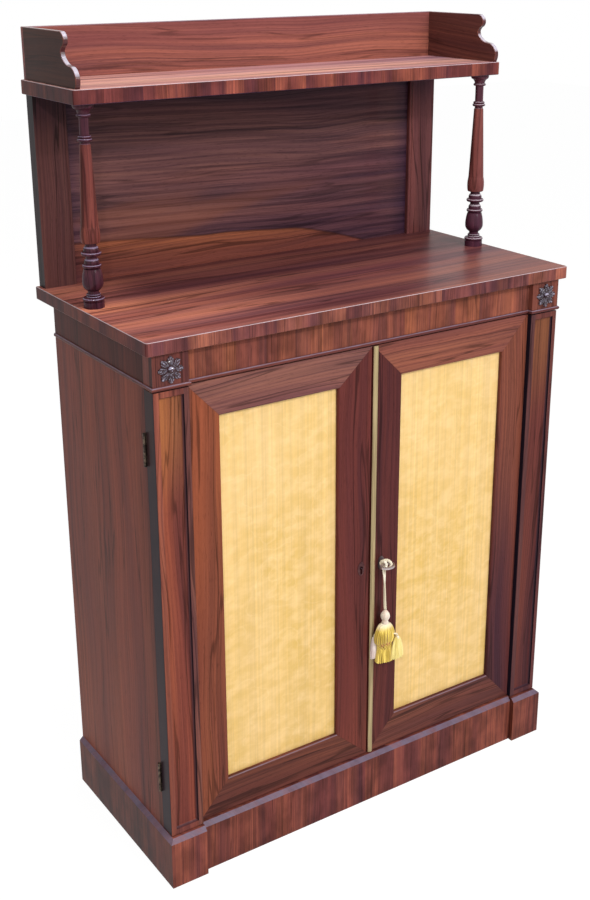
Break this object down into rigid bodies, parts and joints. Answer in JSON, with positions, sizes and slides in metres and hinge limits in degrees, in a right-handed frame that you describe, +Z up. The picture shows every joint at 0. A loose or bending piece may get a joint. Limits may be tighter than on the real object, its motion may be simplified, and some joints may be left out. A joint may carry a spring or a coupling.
{
  "type": "chiffonier",
  "caption": "Rosewood cupboard with paired silk-panelled doors on a plinth, under a display shelf on turned columns with a scrolled gallery; tasselled key in the lock.",
  "frame": {"origin": "on the floor, half way between the two ends and half way between the rear edge of the top and the tip of the key", "axes": "+X to the right of someone facing the doors, -Y out of the front, +Z up"},
  "size_m": [0.772, 0.3804, 1.268],
  "materials": {
    "rosewood": "figured rosewood veneer, french polished to a gloss",
    "secondary_wood": "plain planed softwood, stained thinly",
    "silk": "golden slubbed silk, stretched flat",
    "brass": "old brass, dull",
    "steel": "darkened steel, worn bright on the key's bow",
    "cream_thread": "cream twisted cord",
    "gold_thread": "golden yellow tassel thread"
  },
  "bodies": {
    "carcass": {"back_boards": "secondary_wood", "back_panel": "rosewood", "bottom_board": "secondary_wood", "carcass_hinge_leaves": "brass", "column_left": "rosewood", "column_right": "rosewood", "display_shelf": "rosewood", "frieze_bead": "rosewood", "frieze_block_left": "rosewood", "frieze_block_right": "rosewood", "frieze_rail": "rosewood", "gallery_back": "rosewood", "gallery_end_left": "rosewood", "gallery_end_right": "rosewood", "inner_shelf": "secondary_wood", "main_top": "rosewood", "patera_left": "rosewood", "patera_right": "rosewood", "plinth_back": "secondary_wood", "plinth_block_left": "rosewood", "plinth_block_right": "rosewood", "plinth_front": "rosewood", "plinth_glue_blocks": "secondary_wood", "plinth_side_left": "rosewood", "plinth_side_right": "rosewood", "side_panel_left": "rosewood", "side_panel_right": "rosewood", "top_rail": "secondary_wood", "upright_left": "rosewood", "upright_right": "rosewood"},
    "left door": {"left_bolt_plates": "brass", "left_door_bottom_rail": "rosewood", "left_door_hinge_leaves": "brass", "left_door_top_rail": "rosewood", "left_escutcheon": "brass", "left_hinge_stile": "rosewood", "left_meeting_stile": "rosewood", "left_pilaster": "rosewood", "left_silk": "silk", "left_silk_board": "secondary_wood", "lock_keep": "brass"},
    "right door": {"right_door_bottom_rail": "rosewood", "right_door_hinge_leaves": "brass", "right_door_top_rail": "rosewood", "right_escutcheon": "brass", "right_hinge_stile": "rosewood", "right_meeting_stile": "rosewood", "right_pilaster": "rosewood", "right_silk": "silk", "right_silk_board": "secondary_wood", "meeting_bead": "brass", "lock_case": "steel"},
    "tassel": {"tassel_cord": "cream_thread", "tassel_head": "cream_thread", "tassel_skirt": "gold_thread", "small_tassels": "gold_thread"},
    "lock bolt": {"lock_bolt": "steel"},
    "key": {"key": "steel"},
    "left top bolt": {"left_top_bolt": "brass"},
    "left bottom bolt": {"left_bottom_bolt": "brass"}
  },
  "joints": [
    {"name": "left door hinge", "type": "hinge", "parent": "carcass", "child": "left door", "pos_m": [-0.3776, -0.14455, 0.448], "axis": [0, 0, -1], "range_deg": [0, 170]},
    {"name": "right door hinge", "type": "hinge", "parent": "carcass", "child": "right door", "pos_m": [0.3776, -0.14455, 0.448], "axis": [0, 0, 1], "range_deg": [0, 170]},
    {"name": "key turn", "type": "hinge", "parent": "right door", "child": "key", "pos_m": [0.025, -0.16275, 0.438], "axis": [0, -1, 0], "range_deg": [0, 180]},
    {"name": "lock bolt slide", "type": "slide", "parent": "right door", "child": "lock bolt", "axis": [-1, 0, 0], "range_m": [0, 0.01]},
    {"name": "left top bolt slide", "type": "slide", "parent": "left door", "child": "left top bolt", "axis": [0, 0, 1], "range_m": [0, 0.01]},
    {"name": "left bottom bolt slide", "type": "slide", "parent": "left door", "child": "left bottom bolt", "axis": [0, 0, -1], "range_m": [0, 0.01]},
    {"name": "tassel swing", "type": "hinge", "parent": "right door", "child": "tassel", "pos_m": [0.025, -0.17695, 0.438], "axis": [0, 1, 0], "range_deg": [-20, 20]}
  ],
  "couplings": [
    {"joint": "key turn", "follows": "lock bolt slide", "rad_per_m": 314.15}
  ]
}
